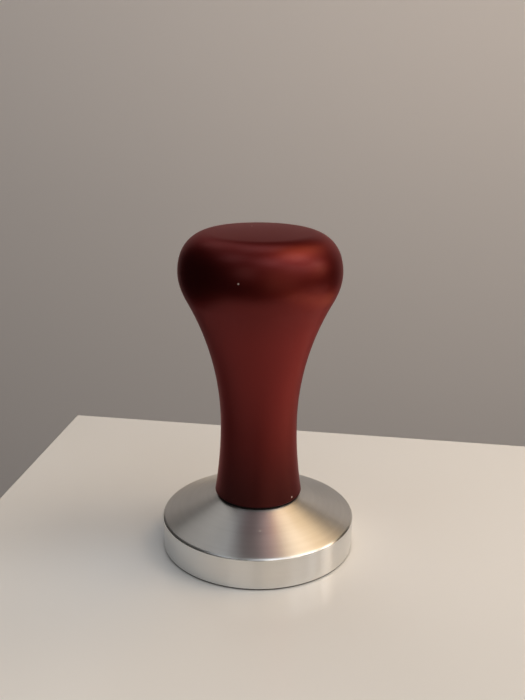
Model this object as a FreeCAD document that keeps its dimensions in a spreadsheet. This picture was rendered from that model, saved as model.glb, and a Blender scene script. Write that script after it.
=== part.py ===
import FreeCAD, Part

import math
import os

import Sketcher

# Espresso tamper: a turned tamping base, a turned handle, the threaded stud that joins them
# and the thin washer between them. Millimetres, +Z up, origin at the centre of the flat face
# that presses the coffee.

SIZES = {
    # tamping base
    "base_diameter": 58.0,
    "rim_height": 9.95,
    "rim_break": 0.5,
    "bottom_break": 0.4,
    "boss_height": 16.5,
    "cone_slope": 0.4146,
    # washer between the base and the handle
    "washer_diameter": 24.9,
    "washer_hole_diameter": 8.6,
    "washer_thickness": 0.5,
    # handle: heights are above the tamping face
    "waist_height": 39.0,
    "waist_diameter": 22.7,
    "foot_curve": 135.0,
    "neck_curve": 80.0,
    "foot_break": 0.6,
    "knob_height": 85.4,
    "knob_diameter": 46.8,
    "knob_under_curve": 23.5,
    "knob_side_curve": 14.5,
    "knob_shoulder_curve": 9.5,
    "crown_curve": 180.0,
    "total_height": 97.1,
    # M8 x 1.25 thread, with a free running fit
    "thread_pitch": 1.25,
    "pitch_radius": 3.594,
    "groove_half_width": 0.3425,
    "flank_slope": 0.57735,
    "stud_crest_radius": 3.95,
    "stud_root_radius": 3.25,
    "stud_tool_radius": 4.05,
    "tap_crest_radius": 3.37,
    "tap_root_radius": 4.04,
    "tap_tool_radius": 3.25,
    "mouth_radius": 4.4,
    "drill_point_slope": 0.6009,
    # stud
    "stud_length": 30.0,
    "stud_in_base": 10.0,
    "stud_end_break": 0.9,
    "socket_across_flats": 4.0,
    "socket_depth": 4.5,
    # blind drillings, past the stud's two ends
    "base_drill_spare": 1.5,
    "handle_drill_spare": 2.5,
}

DERIVED = {
    "base_radius": "=base_diameter / 2",
    "bottom_flat_radius": "=base_radius - bottom_break",
    "wall_top": "=rim_height - rim_break",
    "cone_foot_radius": "=base_radius - rim_break",
    "boss_radius": "=cone_foot_radius - (boss_height - rim_height) / cone_slope",
    "washer_radius": "=washer_diameter / 2",
    "washer_hole_radius": "=washer_hole_diameter / 2",
    "handle_bottom": "=boss_height + washer_thickness",
    "waist_radius": "=waist_diameter / 2",
    "waist_up": "=waist_height - handle_bottom",
    "foot_centre_radius": "=waist_radius + foot_curve",
    "neck_centre_radius": "=waist_radius + neck_curve",
    "knob_up": "=knob_height - handle_bottom",
    "knob_side_radius": "=knob_diameter / 2 - knob_side_curve",
    "top_up": "=total_height - handle_bottom",
    "crown_centre_down": "=crown_curve - top_up",
    "stud_bottom": "=boss_height - stud_in_base",
    "stud_end_radius": "=stud_crest_radius - stud_end_break",
    "stud_upper_break": "=stud_length - stud_end_break",
    "stud_thread_start": "=-thread_pitch",
    "stud_thread_height": "=stud_length + 2 * thread_pitch",
    "stud_root_half": "=groove_half_width - (pitch_radius - stud_root_radius) * flank_slope",
    "stud_tool_half": "=groove_half_width + (stud_tool_radius - pitch_radius) * flank_slope",
    "tap_root_half": "=groove_half_width - (tap_root_radius - pitch_radius) * flank_slope",
    "tap_tool_half": "=groove_half_width + (pitch_radius - tap_tool_radius) * flank_slope",
    "mouth_break": "=mouth_radius - tap_crest_radius",
    "drill_point_height": "=tap_crest_radius * drill_point_slope",
    "base_mouth_foot": "=boss_height - mouth_break",
    "base_drill_foot": "=stud_bottom - base_drill_spare",
    "base_drill_tip": "=base_drill_foot - drill_point_height",
    "base_thread_start": "=stud_bottom - thread_pitch / 2",
    "base_thread_height": "=boss_height + thread_pitch - base_thread_start",
    "handle_drill_top": "=stud_bottom + stud_length + handle_drill_spare - handle_bottom",
    "handle_drill_tip": "=handle_drill_top + drill_point_height",
    "handle_thread_start": "=stud_bottom + 7.5 * thread_pitch - handle_bottom",
    "handle_thread_height": "=17.5 * thread_pitch",
    "socket_corner_radius": "=socket_across_flats / sqrt(3)",
}

AXIS = None

doc = FreeCAD.newDocument("espresso_tamper")
sheet = doc.addObject("Spreadsheet::Sheet", "Sizes")
for row, (name, size) in enumerate({**SIZES, **DERIVED}.items(), start=1):
    sheet.set(f"A{row}", name)
    sheet.set(f"B{row}", str(size))
    sheet.setAlias(f"B{row}", name)
doc.recompute()


def value(name):
    """A size from the sheet; AXIS stands for zero."""
    return 0.0 if name is AXIS else float(sheet.get(name))


def new_body(name, height=AXIS):
    """An empty body that stands at a height above the tamping face."""
    body = doc.addObject("PartDesign::Body", name)
    body.Label = name
    if height is not AXIS:
        body.setExpression("Placement.Base.z", f"Sizes.{height}")
    return body


def new_sketch(body, name, role="XZ_Plane"):
    """A sketch on one of the body's own planes. On XZ, x is the radius and y is the height."""
    sketch = body.newObject("Sketcher::SketchObject", name)
    plane = next(part for part in body.Origin.OriginFeatures if part.Role == role)
    sketch.AttachmentSupport = (plane, [""])
    sketch.MapMode = "FlatFace"
    return sketch


def bind(sketch, kind, places, name):
    """A dimension that follows the sheet; a zero one holds the point to the axis instead."""
    if name is AXIS:
        axis_line = -2 if kind == "DistanceX" else -1
        sketch.addConstraint(Sketcher.Constraint("PointOnObject", *places[-2:], axis_line))
        return
    number = sketch.addConstraint(Sketcher.Constraint(kind, *places, value(name)))
    sketch.setExpression(f"Constraints[{number}]", f"Sizes.{name}")


def place(sketch, line, end, radius, height):
    """Hold one end of a line, or an arc's centre, at a radius and a height."""
    bind(sketch, "DistanceX", (-1, 1, line, end), radius)
    bind(sketch, "DistanceY", (-1, 1, line, end), height)


def straight_outline(sketch, corners):
    """A closed outline of straight lines through named corners."""
    points = [FreeCAD.Vector(value(radius), value(height), 0) for radius, height in corners]
    for start, end in zip(points, points[1:] + points[:1]):
        sketch.addGeometry(Part.LineSegment(start, end))
    count = len(points)
    for line in range(count):
        sketch.addConstraint(Sketcher.Constraint("Coincident", line, 2, (line + 1) % count, 1))
    for line, (radius, height) in enumerate(corners):
        place(sketch, line, 1, radius, height)


def revolved(body, sketch, name, kind="PartDesign::Revolution"):
    """Turn a section about the vertical axis: a Revolution adds it and a Groove cuts it."""
    feature = body.newObject(kind, name)
    feature.Profile = sketch
    feature.ReferenceAxis = (sketch, ["V_Axis"])
    feature.Angle = 360
    doc.recompute()
    return feature


def circle_meeting(first, first_reach, second, second_reach, side):
    """The point at two given distances from two centres, on one side of the line between them."""
    across = second - first
    gap = across.Length
    along = (first_reach**2 - second_reach**2 + gap**2) / (2 * gap)
    away = math.sqrt(first_reach**2 - along**2)
    across.normalize()
    normal = FreeCAD.Vector(-across.y, across.x, 0)
    return first + across * along + normal * away * side


def heading(start, end):
    """The angle of the direction from one point to another, from 0 to a full turn."""
    return math.atan2(end.y - start.y, end.x - start.x) % (2 * math.pi)


def add_arc(sketch, centre, curve, start, end):
    """An arc that runs anticlockwise between two angles, with its radius bound to the sheet."""
    circle = Part.Circle(centre, FreeCAD.Vector(0, 0, 1), value(curve))
    arc = sketch.addGeometry(Part.ArcOfCircle(circle, start, end))
    bind(sketch, "Radius", (arc,), curve)
    return arc


def cut_thread(body, name, start, height, root, tool):
    """Cut a right-hand M8 groove; root and tool are the (radius, half width) of its two sides."""
    sketch = new_sketch(body, name + "Profile")
    sketch.setExpression("AttachmentOffset.Base.y", f"Sizes.{start}")
    sides = [(root, 1), (tool, 1), (tool, -1), (root, -1)]
    points = [FreeCAD.Vector(value(radius), value(half) * side, 0) for (radius, half), side in sides]
    for first, second in zip(points, points[1:] + points[:1]):
        sketch.addGeometry(Part.LineSegment(first, second))
    for line in range(4):
        sketch.addConstraint(Sketcher.Constraint("Coincident", line, 2, (line + 1) % 4, 1))
    place(sketch, 0, 1, *root)
    place(sketch, 1, 1, *tool)
    sketch.addConstraint(Sketcher.Constraint("Symmetric", 1, 1, 1, 2, -1))
    sketch.addConstraint(Sketcher.Constraint("Symmetric", 0, 1, 2, 2, -1))
    helix = body.newObject("PartDesign::SubtractiveHelix", name)
    helix.Profile = sketch
    helix.ReferenceAxis = (sketch, ["V_Axis"])
    helix.Mode = "pitch-height-angle"
    helix.setExpression("Pitch", "Sizes.thread_pitch")
    helix.setExpression("Height", f"Sizes.{height}")
    helix.LeftHanded = False
    helix.Reversed = False
    doc.recompute()
    return helix


def make_piston_base():
    """The turned disc that presses the coffee, with a cone on top and a blind M8 hole."""
    body = new_body("piston_base")
    disc = new_sketch(body, "DiscSection")
    straight_outline(disc, [
        (AXIS, AXIS),
        ("bottom_flat_radius", AXIS),
        ("base_radius", "bottom_break"),
        ("base_radius", "wall_top"),
        ("cone_foot_radius", "rim_height"),
        ("boss_radius", "boss_height"),
        (AXIS, "boss_height"),
    ])
    revolved(body, disc, "Disc")
    drilling = new_sketch(body, "DrillSection")
    straight_outline(drilling, [
        (AXIS, "base_drill_tip"),
        ("tap_crest_radius", "base_drill_foot"),
        ("tap_crest_radius", "base_mouth_foot"),
        ("mouth_radius", "boss_height"),
        (AXIS, "boss_height"),
    ])
    revolved(body, drilling, "Drilling", "PartDesign::Groove")
    cut_thread(body, "TappedThread", "base_thread_start", "base_thread_height",
               ("tap_root_radius", "tap_root_half"), ("tap_tool_radius", "tap_tool_half"))
    return body


def make_joint_washer():
    """The thin ring that keeps the handle's edge off the cone."""
    body = new_body("joint_washer", "boss_height")
    ring = new_sketch(body, "RingSection")
    straight_outline(ring, [
        ("washer_hole_radius", AXIS),
        ("washer_radius", AXIS),
        ("washer_radius", "washer_thickness"),
        ("washer_hole_radius", "washer_thickness"),
    ])
    revolved(body, ring, "Ring")
    return body


def handle_outline(sketch):
    """Half of the handle's section: six tangent arcs from the foot to the crown."""
    waist_up = value("waist_up")
    foot_centre = FreeCAD.Vector(value("foot_centre_radius"), waist_up, 0)
    neck_centre = FreeCAD.Vector(value("neck_centre_radius"), waist_up, 0)
    side_centre = FreeCAD.Vector(value("knob_side_radius"), value("knob_up"), 0)
    crown_centre = FreeCAD.Vector(0, -value("crown_centre_down"), 0)
    under, side, shoulder = (value(f"knob_{part}_curve") for part in ("under", "side", "shoulder"))
    under_centre = circle_meeting(
        neck_centre, value("neck_curve") + under, side_centre, under - side, 1)
    shoulder_centre = circle_meeting(
        crown_centre, value("crown_curve") - shoulder, side_centre, side - shoulder, -1)

    foot_end = math.pi + math.asin(waist_up / value("foot_curve"))
    neck_top = heading(neck_centre, under_centre)
    under_foot = heading(under_centre, neck_centre)
    side_foot = heading(under_centre, side_centre)
    side_top = heading(side_centre, shoulder_centre)
    shoulder_top = heading(crown_centre, shoulder_centre)

    foot_arc = add_arc(sketch, foot_centre, "foot_curve", math.pi, foot_end)
    neck_arc = add_arc(sketch, neck_centre, "neck_curve", neck_top, math.pi)
    under_arc = add_arc(sketch, under_centre, "knob_under_curve", under_foot, side_foot)
    side_arc = add_arc(sketch, side_centre, "knob_side_curve", side_foot, side_top)
    shoulder_arc = add_arc(sketch, shoulder_centre, "knob_shoulder_curve", side_top, shoulder_top)
    crown_arc = add_arc(sketch, crown_centre, "crown_curve", shoulder_top, math.pi / 2)
    crown_top = FreeCAD.Vector(0, value("top_up"), 0)
    foot_radius = foot_centre.x - math.sqrt(value("foot_curve")**2 - waist_up**2)
    axis_line = sketch.addGeometry(Part.LineSegment(crown_top, FreeCAD.Vector(0, 0, 0)))
    foot_line = sketch.addGeometry(
        Part.LineSegment(FreeCAD.Vector(0, 0, 0), FreeCAD.Vector(foot_radius, 0, 0)))

    place(sketch, foot_arc, 3, "foot_centre_radius", "waist_up")
    place(sketch, side_arc, 3, "knob_side_radius", "knob_up")
    place(sketch, crown_arc, 2, AXIS, "top_up")
    for kind, places in (
        ("Horizontal", (foot_arc, 3, foot_arc, 1)),
        ("PointOnObject", (crown_arc, 3, -2)),
        ("Tangent", (foot_arc, 1, neck_arc, 2)),
        ("Tangent", (neck_arc, 1, under_arc, 1)),
        ("Tangent", (under_arc, 2, side_arc, 1)),
        ("Tangent", (side_arc, 2, shoulder_arc, 1)),
        ("Tangent", (shoulder_arc, 2, crown_arc, 1)),
        ("Coincident", (crown_arc, 2, axis_line, 1)),
        ("Coincident", (axis_line, 2, -1, 1)),
        ("Coincident", (foot_line, 1, -1, 1)),
        ("Coincident", (foot_line, 2, foot_arc, 2)),
        ("Horizontal", (foot_line,)),
    ):
        sketch.addConstraint(Sketcher.Constraint(kind, *places))


def outer_edge(shape, height):
    """The name of the widest edge that lies flat at a height."""
    flat = [
        (edge.BoundBox.XLength, f"Edge{number}")
        for number, edge in enumerate(shape.Edges, start=1)
        if abs(edge.BoundBox.ZMin - height) < 0.01 and edge.BoundBox.ZLength < 0.01
    ]
    return max(flat)[1]


def make_handle():
    """The turned handle: flared foot, waist and mushroom knob, with a blind M8 hole below."""
    body = new_body("handle", "handle_bottom")
    section = new_sketch(body, "HandleSection")
    handle_outline(section)
    turned = revolved(body, section, "Turned")
    foot_break = body.newObject("PartDesign::Chamfer", "FootBreak")
    foot_break.Base = (turned, [outer_edge(turned.Shape, 0)])
    foot_break.setExpression("Size", "Sizes.foot_break")
    doc.recompute()
    drilling = new_sketch(body, "DrillSection")
    straight_outline(drilling, [
        (AXIS, AXIS),
        ("mouth_radius", AXIS),
        ("tap_crest_radius", "mouth_break"),
        ("tap_crest_radius", "handle_drill_top"),
        (AXIS, "handle_drill_tip"),
    ])
    revolved(body, drilling, "Drilling", "PartDesign::Groove")
    cut_thread(body, "TappedThread", "handle_thread_start", "handle_thread_height",
               ("tap_root_radius", "tap_root_half"), ("tap_tool_radius", "tap_tool_half"))
    return body


def make_joining_stud():
    """The headless M8 stud, with a hex socket in its lower end."""
    body = new_body("joining_stud", "stud_bottom")
    rod = new_sketch(body, "RodSection")
    straight_outline(rod, [
        (AXIS, AXIS),
        ("stud_end_radius", AXIS),
        ("stud_crest_radius", "stud_end_break"),
        ("stud_crest_radius", "stud_upper_break"),
        ("stud_end_radius", "stud_length"),
        (AXIS, "stud_length"),
    ])
    revolved(body, rod, "Rod")
    cut_thread(body, "RolledThread", "stud_thread_start", "stud_thread_height",
               ("stud_root_radius", "stud_root_half"), ("stud_tool_radius", "stud_tool_half"))
    hexagon = new_sketch(body, "SocketOutline", "XY_Plane")
    socket_outline(hexagon)
    socket = body.newObject("PartDesign::Pocket", "HexSocket")
    socket.Profile = hexagon
    socket.Reversed = True
    socket.setExpression("Length", "Sizes.socket_depth")
    doc.recompute()
    return body


def socket_outline(sketch):
    """A hexagon about the axis, held by its corner radius."""
    reach = value("socket_corner_radius")
    corners = [
        FreeCAD.Vector(reach * math.cos(math.radians(60 * turn)),
                       reach * math.sin(math.radians(60 * turn)), 0)
        for turn in range(6)
    ]
    circle = sketch.addGeometry(
        Part.Circle(FreeCAD.Vector(0, 0, 0), FreeCAD.Vector(0, 0, 1), reach), True)
    sketch.addConstraint(Sketcher.Constraint("Coincident", circle, 3, -1, 1))
    bind(sketch, "Radius", (circle,), "socket_corner_radius")
    for start, end in zip(corners, corners[1:] + corners[:1]):
        sketch.addGeometry(Part.LineSegment(start, end))
    for line in range(1, 7):
        following = line % 6 + 1
        sketch.addConstraint(Sketcher.Constraint("Coincident", line, 2, following, 1))
        sketch.addConstraint(Sketcher.Constraint("PointOnObject", line, 1, circle))
    for line in range(1, 6):
        sketch.addConstraint(Sketcher.Constraint("Equal", line, line + 1))
    sketch.addConstraint(Sketcher.Constraint("PointOnObject", 1, 1, -1))


bodies = [make_piston_base(), make_joint_washer(), make_handle(), make_joining_stud()]
doc.recompute()

for item in doc.Objects:
    if "Invalid" in item.State or "Error" in item.State:
        raise RuntimeError(f"{item.Name} did not compute: {item.State}")

os.makedirs("parts", exist_ok=True)
for body in bodies:
    shape = body.Shape
    if shape.isNull() or not shape.isValid() or len(shape.Solids) != 1:
        raise RuntimeError(f"{body.Label} is not one valid solid")
    shape.exportStep(f"parts/{body.Label}.step")
    print(body.Label, "volume", round(shape.Volume, 2), "mm3")
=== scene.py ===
import math

import bpy
from mathutils import Euler, Matrix, Vector


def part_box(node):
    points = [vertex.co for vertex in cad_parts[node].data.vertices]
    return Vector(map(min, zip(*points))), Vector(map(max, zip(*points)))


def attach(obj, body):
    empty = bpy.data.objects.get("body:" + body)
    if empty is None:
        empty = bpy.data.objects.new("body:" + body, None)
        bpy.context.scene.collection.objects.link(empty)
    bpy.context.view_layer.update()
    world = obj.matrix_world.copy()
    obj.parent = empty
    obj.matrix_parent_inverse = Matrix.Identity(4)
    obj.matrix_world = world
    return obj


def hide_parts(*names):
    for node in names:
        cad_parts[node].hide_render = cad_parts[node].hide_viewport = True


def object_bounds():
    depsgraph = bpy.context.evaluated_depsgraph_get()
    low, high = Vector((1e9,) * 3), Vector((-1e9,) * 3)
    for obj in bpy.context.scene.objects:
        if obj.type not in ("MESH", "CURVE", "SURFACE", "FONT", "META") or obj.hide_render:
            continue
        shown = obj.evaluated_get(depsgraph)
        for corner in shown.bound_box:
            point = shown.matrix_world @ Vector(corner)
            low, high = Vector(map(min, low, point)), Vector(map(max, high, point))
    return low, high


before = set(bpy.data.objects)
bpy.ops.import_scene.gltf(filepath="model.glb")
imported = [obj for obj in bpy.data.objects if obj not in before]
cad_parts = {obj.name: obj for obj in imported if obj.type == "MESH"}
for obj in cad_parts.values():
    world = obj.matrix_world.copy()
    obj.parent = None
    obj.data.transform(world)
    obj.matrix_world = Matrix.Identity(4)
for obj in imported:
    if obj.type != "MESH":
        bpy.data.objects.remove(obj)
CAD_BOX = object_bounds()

# Espresso tamper on a pale floor. Metres, in the CAD frame: +Z up, origin at the centre of the
# tamping face. MM turns the millimetre sizes below into metres.

MM = 0.001
BASE_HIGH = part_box("piston_base")[1]
WASHER_LOW, WASHER_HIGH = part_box("joint_washer")
HANDLE_LOW, HANDLE_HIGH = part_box("handle")
STUD_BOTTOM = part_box("joining_stud")[0][2]

BASE_RADIUS = BASE_HIGH[0]
BOSS_HEIGHT = BASE_HIGH[2]
BOTTOM_BREAK = 0.4 * MM
RIM_BREAK = 0.5 * MM
RIM_HEIGHT = 9.95 * MM
CONE_SLOPE = 0.4146
EDGE_ROUND = 0.12 * MM

WASHER_RADIUS = WASHER_HIGH[0]
WASHER_HOLE = 4.3 * MM
WASHER_ROUND = 0.1 * MM

HANDLE_BOTTOM = HANDLE_LOW[2]
HANDLE_TOP = HANDLE_HIGH[2]
KNOB_RADIUS = HANDLE_HIGH[0]
KNOB_HEIGHT = 85.4 * MM
WAIST_HEIGHT = 39.0 * MM
WAIST_RADIUS = 11.35 * MM
FOOT_CURVE = 135.0 * MM
NECK_CURVE = 80.0 * MM
KNOB_UNDER_CURVE = 23.5 * MM
KNOB_SIDE_CURVE = 14.5 * MM
KNOB_SHOULDER_CURVE = 9.5 * MM
CROWN_CURVE = 180.0 * MM
FOOT_BREAK = 0.6 * MM

# The M8 groove is twice THREAD_HALF_WIDTH wide at the radius THREAD_MIDDLE. THREAD_FLANK is the
# tangent of its 30 degree flank and DRILL_POINT_SLOPE the depth of a 118 degree point over its
# radius.
THREAD_PITCH = 1.25 * MM
THREAD_MIDDLE = 3.594 * MM
THREAD_HALF_WIDTH = 0.3425 * MM
THREAD_FLANK = 0.57735
THREAD_RUNOUT = 0.8 * MM
TAP_CREST = 3.37 * MM
TAP_ROOT = 4.04 * MM
TAP_MOUTH = 4.4 * MM
DRILL_POINT_SLOPE = 0.6009
BASE_DRILL_DEPTH = 11.5 * MM
HANDLE_DRILL_DEPTH = 22.0 * MM

# Dust on the handle and on the cone: degrees round from the front, radius and height.
DUST_ON_HANDLE = ((-14, 23.3, 86.9), (-156, 6.2, 97.0), (51, 12.9, 18.6))
DUST_ON_CONE = ((2, 19.6, 13.6),)
DUST_SIZE = 0.32 * MM
DUST_CORE = 0.6

# Painted light and shade on the handle: where the neck's painted brighter tone comes and goes, and
# how far painted shade darkens the foot.
NECK_LIGHT_COMES = (30 * MM, 55 * MM)
NECK_LIGHT_GOES = (66 * MM, 84 * MM)
FOOT_SHADE = 0.70

# Mesh detail: points round a ring, rings to a turn of thread, steps in a fillet, and the
# distances between rings.
AROUND = 192
THREAD_STEPS = 12
FILLET_STEPS = 4
FLAT_STEP = 1.0 * MM
FOOT_STEP = 0.8 * MM
NECK_STEP = 0.6 * MM
KNOB_STEP = 0.4 * MM
SHOULDER_STEP = 0.35 * MM
CROWN_STEP = 0.5 * MM
POLE_REACH = 1e-9
SHARP_ANGLE = math.radians(28)

# Material noise: the range that its values mostly keep to, and the least radius that a
# direction round the axis is worked out with.
NOISE_LOW = 0.3
NOISE_HIGH = 0.7
LEAST_RADIUS = 0.2 * MM


# ---- mesh code -----------------------------------------------------------------------------

def ring(radius, height):
    """One turn of points; the radius is a number or a function of the angle."""
    points = []
    for step in range(AROUND):
        angle = 2 * math.pi * step / AROUND
        reach = radius(angle) if callable(radius) else radius
        points.append((reach * math.cos(angle), reach * math.sin(angle), height))
    return points


def skin(name, rings, closed=False):
    """A mesh through a list of rings; a ring of one point is a pole."""
    points, faces, starts = [], [], []
    for turn in rings:
        starts.append(len(points))
        points.extend(turn)
    pairs = list(zip(range(len(rings)), range(1, len(rings))))
    if closed:
        pairs.append((len(rings) - 1, 0))
    for low, high in pairs:
        first, second = starts[low], starts[high]
        for step in range(AROUND):
            after = (step + 1) % AROUND
            if len(rings[low]) == 1:
                faces.append((first, second + after, second + step))
            elif len(rings[high]) == 1:
                faces.append((first + step, first + after, second))
            else:
                faces.append((first + step, first + after, second + after, second + step))
    mesh = bpy.data.meshes.new(name)
    mesh.from_pydata(points, [], faces)
    mesh.validate()
    mesh.shade_smooth()
    mesh.set_sharp_from_angle(angle=SHARP_ANGLE)
    piece = bpy.data.objects.new(name, mesh)
    bpy.context.collection.objects.link(piece)
    return piece


def turned(outline):
    """Rings for an outline of (radius, height) points."""
    return [[(0.0, 0.0, height)] if radius < POLE_REACH else ring(radius, height)
            for radius, height in outline]


def straight(start, end, step):
    """Points on a line, without its first one."""
    count = max(1, round(math.dist(start, end) / step))
    return [(start[0] + (end[0] - start[0]) * k / count, start[1] + (end[1] - start[1]) * k / count)
            for k in range(1, count + 1)]


def rounded(corner, before, after, size):
    """A small fillet at a corner of the outline."""
    corner = Vector(corner)
    start = corner + (Vector(before) - corner).normalized() * size
    end = corner + (Vector(after) - corner).normalized() * size
    points = []
    for step in range(FILLET_STEPS + 1):
        share = step / FILLET_STEPS
        bend = corner * 2 * share * (1 - share)
        points.append(tuple(start * (1 - share) ** 2 + bend + end * share ** 2))
    return points


def rounded_outline(corners, size, step):
    """An open outline of straight runs with a small fillet at each inner corner."""
    points = [corners[0]]
    for before, corner, after in zip(corners, corners[1:], corners[2:]):
        fillet = rounded(corner, before, after, size)
        points += straight(points[-1], fillet[0], step) + fillet[1:]
    return points + straight(points[-1], corners[-1], step)


def arc(centre, radius, start, end, step):
    """Points on an arc between two angles, both ends included."""
    count = max(2, math.ceil(abs(end - start) * radius / step))
    return [(centre[0] + radius * math.cos(start + (end - start) * k / count),
             centre[1] + radius * math.sin(start + (end - start) * k / count))
            for k in range(count + 1)]


def meeting(first, first_reach, second, second_reach, side):
    """The point at two distances from two centres, on one side of the line between them."""
    across = second - first
    along = (first_reach ** 2 - second_reach ** 2 + across.length ** 2) / (2 * across.length)
    away = math.sqrt(first_reach ** 2 - along ** 2) * side
    across.normalize()
    return first + across * along + Vector((-across.y, across.x)) * away


def heading(start, end):
    """The angle of the direction from one point to another."""
    return math.atan2(end.y - start.y, end.x - start.x)


def tapped_rings(mouth, inward, depth):
    """Rings of a blind M8 hole, from its mouth inwards; inward is 1 up or -1 down."""
    rows = round(depth / THREAD_PITCH * THREAD_STEPS)
    rings = []
    for row in range(rows + 1):
        inside = depth * row / rows
        height = mouth + inward * inside
        chamfer = TAP_MOUTH - inside

        def radius(angle, height=height, chamfer=chamfer, inside=inside):
            turns = (height - STUD_BOTTOM) / THREAD_PITCH - angle / (2 * math.pi)
            off = abs(turns % 1 - 0.5) * THREAD_PITCH
            groove = THREAD_MIDDLE + (THREAD_HALF_WIDTH - off) / THREAD_FLANK
            fade = min(1.0, (depth - inside) / THREAD_RUNOUT)
            groove = min(max(groove, TAP_CREST), TAP_CREST + (TAP_ROOT - TAP_CREST) * fade)
            return max(groove, chamfer)

        rings.append(ring(radius, height))
    rings.append([(0.0, 0.0, mouth + inward * (depth + TAP_CREST * DRILL_POINT_SLOPE))])
    return rings


# ---- pieces --------------------------------------------------------------------------------

def handle_outline():
    """The handle from its thread's mouth to the crown: a broken foot edge and six tangent arcs."""
    foot = Vector((WAIST_RADIUS + FOOT_CURVE, WAIST_HEIGHT))
    neck = Vector((WAIST_RADIUS + NECK_CURVE, WAIST_HEIGHT))
    side = Vector((KNOB_RADIUS - KNOB_SIDE_CURVE, KNOB_HEIGHT))
    crown = Vector((0.0, HANDLE_TOP - CROWN_CURVE))
    under = meeting(neck, NECK_CURVE + KNOB_UNDER_CURVE,
                    side, KNOB_UNDER_CURVE - KNOB_SIDE_CURVE, 1)
    shoulder = meeting(crown, CROWN_CURVE - KNOB_SHOULDER_CURVE,
                       side, KNOB_SIDE_CURVE - KNOB_SHOULDER_CURVE, -1)
    foot_lift = HANDLE_BOTTOM + FOOT_BREAK
    foot_angle = math.asin((WAIST_HEIGHT - foot_lift) / FOOT_CURVE)
    foot_top = (foot.x - FOOT_CURVE * math.cos(foot_angle), foot_lift)
    foot_edge = (foot_top[0] - FOOT_BREAK, HANDLE_BOTTOM)
    neck_turn = heading(under, neck)
    foot_arc = arc(foot, FOOT_CURVE, math.pi + foot_angle, math.pi, NECK_STEP)
    below = rounded_outline([(TAP_MOUTH, HANDLE_BOTTOM), foot_edge, foot_top, foot_arc[1]],
                            EDGE_ROUND, FOOT_STEP)
    neck_arc = arc(neck, NECK_CURVE, math.pi, heading(neck, under) % (2 * math.pi), NECK_STEP)
    under_arc = arc(under, KNOB_UNDER_CURVE, neck_turn, heading(under, side), KNOB_STEP)
    side_arc = arc(side, KNOB_SIDE_CURVE, heading(under, side), heading(side, shoulder), KNOB_STEP)
    shoulder_arc = arc(shoulder, KNOB_SHOULDER_CURVE, heading(side, shoulder),
                       heading(crown, shoulder), SHOULDER_STEP)
    crown_arc = arc(crown, CROWN_CURVE, heading(crown, shoulder), math.pi / 2, CROWN_STEP)
    crown_arc[-1] = (0.0, HANDLE_TOP)
    return (below + foot_arc[2:] + neck_arc[1:] + under_arc[1:] + side_arc[1:]
            + shoulder_arc[1:] + crown_arc[1:])


def make_handle():
    """The one-piece handle, with its tapped hole."""
    hole = tapped_rings(HANDLE_BOTTOM, 1, HANDLE_DRILL_DEPTH)
    return skin("tamper_handle", hole[::-1] + turned(handle_outline())[1:])


def make_base():
    """The turned tamping disc, with its tapped hole."""
    cone_foot = BASE_RADIUS - RIM_BREAK
    boss = cone_foot - (BOSS_HEIGHT - RIM_HEIGHT) / CONE_SLOPE
    outline = rounded_outline([
        (0.0, 0.0),
        (BASE_RADIUS - BOTTOM_BREAK, 0.0),
        (BASE_RADIUS, BOTTOM_BREAK),
        (BASE_RADIUS, RIM_HEIGHT - RIM_BREAK),
        (cone_foot, RIM_HEIGHT),
        (boss, BOSS_HEIGHT),
        (TAP_MOUTH, BOSS_HEIGHT),
    ], EDGE_ROUND, FLAT_STEP)
    hole = tapped_rings(BOSS_HEIGHT, -1, BASE_DRILL_DEPTH)
    return skin("tamper_base", turned(outline)[:-1] + hole)


def make_washer():
    """The thin dark washer under the handle."""
    low, high = WASHER_LOW[2], WASHER_HIGH[2]
    middle = (WASHER_HOLE + WASHER_RADIUS) / 2
    outline = rounded_outline([
        (middle, low), (WASHER_RADIUS, low), (WASHER_RADIUS, high),
        (WASHER_HOLE, high), (WASHER_HOLE, low), (middle, low),
    ], WASHER_ROUND, FLAT_STEP)
    return skin("washer_ring", turned(outline[:-1]), closed=True)


# ---- materials -----------------------------------------------------------------------------

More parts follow.
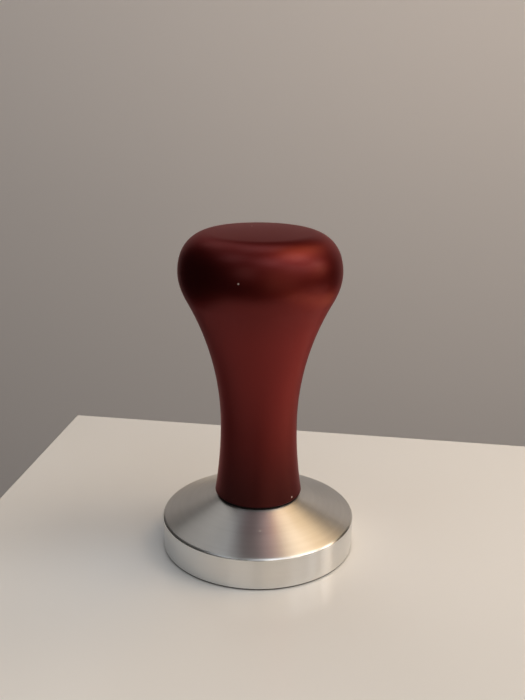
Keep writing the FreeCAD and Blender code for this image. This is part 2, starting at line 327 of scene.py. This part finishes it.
class Nodes:
    """A material's node tree, with short calls for the nodes used here."""

    def __init__(self, name):
        self.material = bpy.data.materials.new(name)
        self.material.use_nodes = True
        self.tree = self.material.node_tree
        self.shader = next(n for n in self.tree.nodes if n.type == "BSDF_PRINCIPLED")

    def add(self, kind, inputs=(), **settings):
        """A node; inputs maps its sockets to numbers or to other nodes' outputs."""
        node = self.tree.nodes.new(kind)
        for key, setting in settings.items():
            setattr(node, key, setting)
        for key, source in dict(inputs).items():
            self.feed(node, key, source)
        return node

    def feed(self, node, key, source):
        """Link a socket or set its number."""
        if isinstance(source, bpy.types.NodeSocket):
            self.tree.links.new(source, node.inputs[key])
        else:
            node.inputs[key].default_value = source

    def math(self, operation, first, second=0.0):
        """A math node's output."""
        return self.add("ShaderNodeMath", {0: first, 1: second}, operation=operation).outputs[0]

    def remap(self, value, low, high, to_low, to_high, smooth=False):
        """A value carried from one range to another, clamped."""
        node = self.add("ShaderNodeMapRange", {
            "Value": value, "From Min": low, "From Max": high, "To Min": to_low, "To Max": to_high})
        node.interpolation_type = "SMOOTHSTEP" if smooth else "LINEAR"
        return node.outputs["Result"]

    def spread(self, noise, low, high):
        """A noise value carried from the range it mostly keeps to, to another one."""
        return self.remap(noise, NOISE_LOW, NOISE_HIGH, low, high)

    def noise(self, vector, scale, detail, extra=None):
        """A noise value; extra gives a fourth coordinate."""
        node = self.add("ShaderNodeTexNoise", {"Vector": vector, "Scale": scale, "Detail": detail},
                        noise_dimensions="4D" if extra is not None else "3D")
        if extra is not None:
            self.feed(node, "W", extra)
        return node.outputs["Fac"]

    def blend(self, share, first, second):
        """Two colours mixed by a share."""
        node = self.add("ShaderNodeMix", data_type="RGBA")
        self.feed(node, 0, share)
        self.feed(node, 6, first)
        self.feed(node, 7, second)
        return node.outputs[2]

    def point(self):
        """The object's own coordinates, in metres."""
        return self.add("ShaderNodeTexCoord").outputs["Object"]

    def turning(self):
        """The radius, the height and the two parts of the direction round the axis."""
        split = self.add("ShaderNodeSeparateXYZ", {0: self.point()})
        x, y, z = split.outputs
        radius = self.math("SQRT", self.math("ADD", self.math("MULTIPLY", x, x),
                                             self.math("MULTIPLY", y, y)))
        safe = self.math("MAXIMUM", radius, LEAST_RADIUS)
        across = self.math("DIVIDE", x, safe)
        along = self.math("DIVIDE", y, safe)
        return radius, z, across, along

    def relief(self, strength, distance, height):
        """Fine relief on the surface, as a bump."""
        bump = self.add("ShaderNodeBump", {
            "Strength": strength, "Distance": distance, "Height": height})
        self.feed(self.shader, "Normal", bump.outputs[0])


def ring_noise(nodes, wavelength, slow, detail):
    """Noise in rings round the axis; wavelength is in metres and slow is how it drifts round."""
    radius, height, across, along = nodes.turning()
    vector = nodes.add("ShaderNodeCombineXYZ", {
        0: nodes.math("DIVIDE", radius, wavelength),
        1: nodes.math("DIVIDE", height, wavelength),
        2: nodes.math("MULTIPLY", across, slow)}).outputs[0]
    return nodes.noise(vector, 1.0, detail, extra=nodes.math("MULTIPLY", along, slow))


def dust(nodes, places, size):
    """Specks of dust at places on the surface: 1 on a speck and 0 elsewhere."""
    share = 0.0
    for azimuth, radius, height in places:
        turn = math.radians(azimuth)
        place = Vector((radius * math.sin(turn), -radius * math.cos(turn), height)) * MM
        gap = nodes.add("ShaderNodeVectorMath", {0: nodes.point(), 1: place}, operation="DISTANCE")
        near = nodes.remap(gap.outputs["Value"], DUST_CORE * size, size, 1.0, 0.0)
        share = nodes.math("MAXIMUM", share, near)
    return share


def turned_aluminium():
    """Bare aluminium fresh off the lathe: rings round the axis and a satin, stretched gloss, with
    painted shade darkening the bottom bevel where it meets the floor.
    """
    cone_dark, cone_pale = (0.62, 0.62, 0.61, 1), (0.71, 0.71, 0.70, 1)
    wall_dark, wall_pale = (0.71, 0.71, 0.70, 1), (0.79, 0.79, 0.78, 1)
    # Painted shade: the near-black bevel colour stands in for the shadow where the bottom edge meets
    # the floor.
    bevel_shade_colour, dust_colour = (0.09, 0.08, 0.07, 1), (0.62, 0.60, 0.57, 1)
    cone_roughness, wall_roughness, bevel_adds, rings_add = 0.38, 0.20, 0.35, 0.03
    cone_relief, wall_relief = 0.10, 0.02
    fine_rings, broad_rings = 0.09 * MM, 1.1 * MM
    bevel_shade_full, bevel_shade_gone = 1.1 * BOTTOM_BREAK, 1.5 * BOTTOM_BREAK

    nodes = Nodes("turned_aluminium")
    shader = nodes.shader
    radius, height, _, _ = nodes.turning()
    fine = ring_noise(nodes, fine_rings, 1.2, 3.0)
    broad = ring_noise(nodes, broad_rings, 0.6, 2.0)
    clouds = nodes.noise(nodes.point(), 55.0, 3.0)
    half_broad = nodes.math("MULTIPLY", broad, 0.5)
    half_clouds = nodes.math("MULTIPLY", clouds, 0.5)
    tone = nodes.spread(nodes.math("ADD", half_broad, half_clouds), 0.0, 1.0)
    # Painted shade mask: the bottom bevel, low down and far out, takes the near-black colour.
    low_down = nodes.remap(height, bevel_shade_full, bevel_shade_gone, 1.0, 0.0)
    far_out = nodes.remap(radius, BASE_RADIUS - bevel_shade_gone, BASE_RADIUS - BOTTOM_BREAK, 0.0, 1.0)
    shaded_bevel = nodes.math("MULTIPLY", low_down, far_out)
    speck = dust(nodes, DUST_ON_CONE, DUST_SIZE)
    on_wall = nodes.remap(height, RIM_HEIGHT - RIM_BREAK, RIM_HEIGHT, 1.0, 0.0)

    cone = nodes.blend(tone, cone_dark, cone_pale)
    wall = nodes.blend(tone, wall_dark, wall_pale)
    metal = nodes.blend(shaded_bevel, nodes.blend(on_wall, cone, wall), bevel_shade_colour)
    nodes.feed(shader, "Base Color", nodes.blend(speck, metal, dust_colour))
    nodes.feed(shader, "Metallic", nodes.math("SUBTRACT", 1.0, speck))
    level = nodes.math("ADD", nodes.remap(on_wall, 0.0, 1.0, cone_roughness, wall_roughness),
                       nodes.math("MULTIPLY", shaded_bevel, bevel_adds))
    nodes.feed(shader, "Roughness", nodes.math(
        "ADD", level, nodes.remap(tone, 0.0, 1.0, -rings_add, rings_add)))
    shader.inputs["Anisotropic"].default_value = 0.8
    shader.inputs["Anisotropic Rotation"].default_value = 0.25
    tangent = nodes.add("ShaderNodeTangent", direction_type="RADIAL", axis="Z")
    nodes.feed(shader, "Tangent", tangent.outputs[0])
    nodes.relief(nodes.remap(on_wall, 0.0, 1.0, cone_relief, wall_relief), 0.01 * MM, fine)
    return nodes.material


def red_anodised():
    """Maroon anodised aluminium: an even satin face, with painted shade darkening the foot and
    painted light brightening the neck.
    """
    dye_dark, dye_pale = (0.116, 0.0105, 0.0095, 1), (0.127, 0.0115, 0.0104, 1)
    neck_painted_light, foot_painted_shade = (0.158, 0.0145, 0.0130, 1), (0.035, 0.005, 0.005, 1)
    dust_colour = (0.55, 0.46, 0.44, 1)

    nodes = Nodes("red_anodised_satin")
    shader = nodes.shader
    _, height, _, _ = nodes.turning()
    clouds = nodes.noise(nodes.point(), 45.0, 3.0)
    grain = nodes.noise(nodes.point(), 2600.0, 2.0)
    speck = dust(nodes, DUST_ON_HANDLE, DUST_SIZE)

    dye_with_painted_light_and_shade = nodes.blend(nodes.spread(clouds, 0.0, 1.0), dye_dark, dye_pale)
    # Painted light: the neck is given a brighter colour between these heights.
    neck = nodes.math("MULTIPLY", nodes.remap(height, *NECK_LIGHT_COMES, 0.0, 1.0, True),
                      nodes.remap(height, *NECK_LIGHT_GOES, 1.0, 0.0, True))
    dye_with_painted_light_and_shade = nodes.blend(neck, dye_with_painted_light_and_shade, neck_painted_light)
    # Painted shade: the foot is darkened towards the bottom.
    foot = nodes.remap(height, HANDLE_BOTTOM, WAIST_HEIGHT, FOOT_SHADE, 0.0, True)
    dye_with_painted_light_and_shade = nodes.blend(foot, dye_with_painted_light_and_shade, foot_painted_shade)
    nodes.feed(shader, "Base Color", nodes.blend(speck, dye_with_painted_light_and_shade, dust_colour))
    nodes.feed(shader, "Metallic", nodes.math("SUBTRACT", 1.0, speck))
    shader.inputs["Specular Tint"].default_value = (1.0, 0.48, 0.50, 1)
    nodes.feed(shader, "Roughness", nodes.spread(clouds, 0.43, 0.47))
    shader.inputs["Coat Weight"].default_value = 0.25
    shader.inputs["Coat Roughness"].default_value = 0.32
    nodes.relief(0.06, 0.01 * MM, grain)
    return nodes.material


def black_rubber():
    """The washer's matte black."""
    black, dark_grey = (0.005, 0.005, 0.005, 1), (0.012, 0.011, 0.011, 1)
    nodes = Nodes("washer_black")
    grain = nodes.noise(nodes.point(), 4000.0, 3.0)
    nodes.feed(nodes.shader, "Base Color",
               nodes.blend(nodes.spread(grain, 0.0, 1.0), black, dark_grey))
    nodes.feed(nodes.shader, "Roughness", nodes.spread(grain, 0.65, 0.85))
    nodes.shader.inputs["Specular IOR Level"].default_value = 0.2
    nodes.relief(0.3, 0.02 * MM, grain)
    return nodes.material


def zinc_plate():
    """The stud's bright zinc plating."""
    blue_grey, warm_grey = (0.50, 0.51, 0.54, 1), (0.62, 0.61, 0.58, 1)
    nodes = Nodes("stud_zinc_plate")
    clouds = nodes.noise(nodes.point(), 600.0, 3.0)
    nodes.feed(nodes.shader, "Base Color",
               nodes.blend(nodes.spread(clouds, 0.0, 1.0), blue_grey, warm_grey))
    nodes.shader.inputs["Metallic"].default_value = 1.0
    nodes.feed(nodes.shader, "Roughness", nodes.spread(clouds, 0.24, 0.38))
    nodes.relief(0.15, 0.01 * MM, clouds)
    return nodes.material


def plain_paint(name, colour, roughness):
    """A plain colour for the floor and the backdrop."""
    nodes = Nodes(name)
    nodes.shader.inputs["Base Color"].default_value = (*colour, 1)
    nodes.shader.inputs["Roughness"].default_value = roughness
    return nodes.material


# ---- the object ----------------------------------------------------------------------------

def finish_piece(piece, material, body, node):
    """Give a piece its material and its body, and hide the CAD node it stands for."""
    piece.data.materials.append(material)
    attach(piece, body)
    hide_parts(node)


finish_piece(make_base(), turned_aluminium(), "base", "piston_base")
finish_piece(make_washer(), black_rubber(), "washer", "joint_washer")
finish_piece(make_handle(), red_anodised(), "handle", "handle")

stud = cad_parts["joining_stud"]
stud.data.materials.clear()
stud.data.materials.append(zinc_plate())


# ---- floor and backdrop --------------------------------------------------------------------

FLOOR_CORNER = Vector((-75.5, 100.0)) * MM
FLOOR_TURN = math.radians(-8.8)
FLOOR_WIDTH = 0.46
FLOOR_DEPTH = 0.21
WALL_BACK = 0.42
WALL_LEFT = -0.32
WALL_RIGHT = 0.50
WALL_LOW = -0.5
WALL_TOP = 0.32


def sheet(name, corners, material):
    """A flat four-cornered sheet for the floor and the backdrop."""
    mesh = bpy.data.meshes.new(name)
    mesh.from_pydata(corners, [], [tuple(range(len(corners)))])
    mesh.materials.append(material)
    panel = bpy.data.objects.new(name, mesh)
    bpy.context.collection.objects.link(panel)


def floor_point(across, forward):
    """A point of the floor, measured along its two edges from its back left corner."""
    offset = Matrix.Rotation(FLOOR_TURN, 2) @ Vector((across, -forward))
    return (*(FLOOR_CORNER + offset), 0.0)


sheet("floor", [floor_point(0, FLOOR_DEPTH), floor_point(FLOOR_WIDTH, FLOOR_DEPTH),
                floor_point(FLOOR_WIDTH, 0), floor_point(0, 0)],
      plain_paint("floor_paint", (0.89, 0.90, 0.90), 0.2))
sheet("backdrop", [(WALL_LEFT, WALL_BACK, WALL_LOW), (WALL_RIGHT, WALL_BACK, WALL_LOW),
                   (WALL_RIGHT, WALL_BACK, WALL_TOP), (WALL_LEFT, WALL_BACK, WALL_TOP)],
      plain_paint("backdrop_paint", (0.90, 0.88, 0.89), 0.8))


# ---- light ---------------------------------------------------------------------------------

# A soft light is given by its degrees round from the camera and up from the floor, its side in
# metres, its power in watts, its colour and, where it isn't the usual one, its distance.
LIGHT_DISTANCE = 0.90
CARD_HEIGHT = 2 * MM
SKY = (0.93, 0.96, 1.00)
DAY = (1.00, 0.95, 0.90)
WINDOW = (1.00, 0.87, 0.72)
WARM = (1.00, 0.76, 0.52)
LAMP = (1.00, 0.62, 0.25)
ROOM = (0.30, 0.28, 0.26, 1)
ROOM_STRENGTH = 0.10


def area_light(name, width, depth, power, colour):
    """A flat rectangular light that shines down its own -Z."""
    data = bpy.data.lights.new(name, "AREA")
    data.shape = "RECTANGLE"
    data.size = width
    data.size_y = depth
    data.energy = power
    data.color = colour
    lamp = bpy.data.objects.new(name, data)
    bpy.context.collection.objects.link(lamp)
    return lamp


def soft_light(name, azimuth, elevation, size, power, colour, distance=LIGHT_DISTANCE):
    """A square soft box aimed at the middle of the tamper; azimuth 0 is the camera's side."""
    turn, lift = math.radians(azimuth), math.radians(elevation)
    away = Vector((math.sin(turn) * math.cos(lift), -math.cos(turn) * math.cos(lift),
                   math.sin(lift)))
    target = Vector((0, 0, (CAD_BOX[0][2] + CAD_BOX[1][2]) / 2))
    lamp = area_light(name, size, size, power, colour)
    lamp.location = target + away * distance
    lamp.rotation_euler = away.to_track_quat("Z", "Y").to_euler()


def bounce_card(name, across, back, width, depth, power, colour):
    """A card lying on the floor beside the picture that throws light up at the tamper."""
    card = area_light(name, width, depth, power, colour)
    card.location = (across, back, CARD_HEIGHT)
    card.rotation_euler = (math.pi, 0, 0)
    card.visible_camera = False


soft_light("right_high", 76, 58, 0.32, 1.20, WINDOW)
soft_light("right_high_warm", 112, 60, 0.50, 1.00, LAMP)
soft_light("back_top", 180, 74, 0.40, 0.65, SKY)
soft_light("front_high", 30, 52, 0.36, 0.60, SKY)
soft_light("front_low_warm", 30, 12, 0.50, 0.50, WARM, 0.60)
soft_light("right_back_warm", 118, 50, 0.50, 0.45, LAMP)
soft_light("front_top", 10, 60, 0.40, 0.45, SKY)
soft_light("right_mid", 78, 46, 0.22, 0.40, SKY)
soft_light("right_mid_low", 88, 26, 0.22, 0.40, SKY)
soft_light("back_high", -150, 48, 0.36, 0.35, DAY)
soft_light("left_high", -60, 60, 0.36, 0.40, SKY)
soft_light("front_right", 48, 34, 0.22, 0.35, SKY)
soft_light("right_low", 66, 24, 0.22, 0.35, SKY)
soft_light("front_low", -20, 26, 0.40, 0.35, DAY)
soft_light("right_mid_wide", 100, 44, 0.50, 0.30, WINDOW)
soft_light("right_low_warm", 80, 22, 0.40, 0.20, LAMP, 0.60)
soft_light("right_back", 130, 40, 0.36, 0.20, WARM)
soft_light("right_near", 90, 18, 0.14, 0.15, WARM, 0.50)
soft_light("left_back", -120, 60, 0.36, 0.10, DAY)
bounce_card("card_right", 0.13, -0.04, 0.06, 0.30, 0.06, LAMP)

world = bpy.data.worlds.new("studio")
world.use_nodes = True
world.node_tree.nodes["Background"].inputs["Color"].default_value = ROOM
world.node_tree.nodes["Background"].inputs["Strength"].default_value = ROOM_STRENGTH
bpy.context.scene.world = world
bpy.context.scene.view_settings.view_transform = "Standard"


# ---- camera --------------------------------------------------------------------------------

CAMERA_BACK = 248.9 * MM
CAMERA_HEIGHT = 142.3 * MM
CAMERA_DOWN = math.radians(17.93)
CAMERA_TURN = math.radians(0.20)
CAMERA_ROLL = math.radians(0.63)
CAMERA_LENS = 46.29
CAMERA_NEAR = 0.01

camera_data = bpy.data.cameras.new("camera")
camera_data.lens = CAMERA_LENS
camera_data.clip_start = CAMERA_NEAR
camera = bpy.data.objects.new("camera", camera_data)
bpy.context.collection.objects.link(camera)
camera.location = (0, -CAMERA_BACK, CAMERA_HEIGHT)
aim = Euler((math.pi / 2 - CAMERA_DOWN, 0, -CAMERA_TURN)).to_matrix()
camera.rotation_euler = (aim @ Matrix.Rotation(CAMERA_ROLL, 3, "Z")).to_euler()
bpy.context.scene.camera = camera
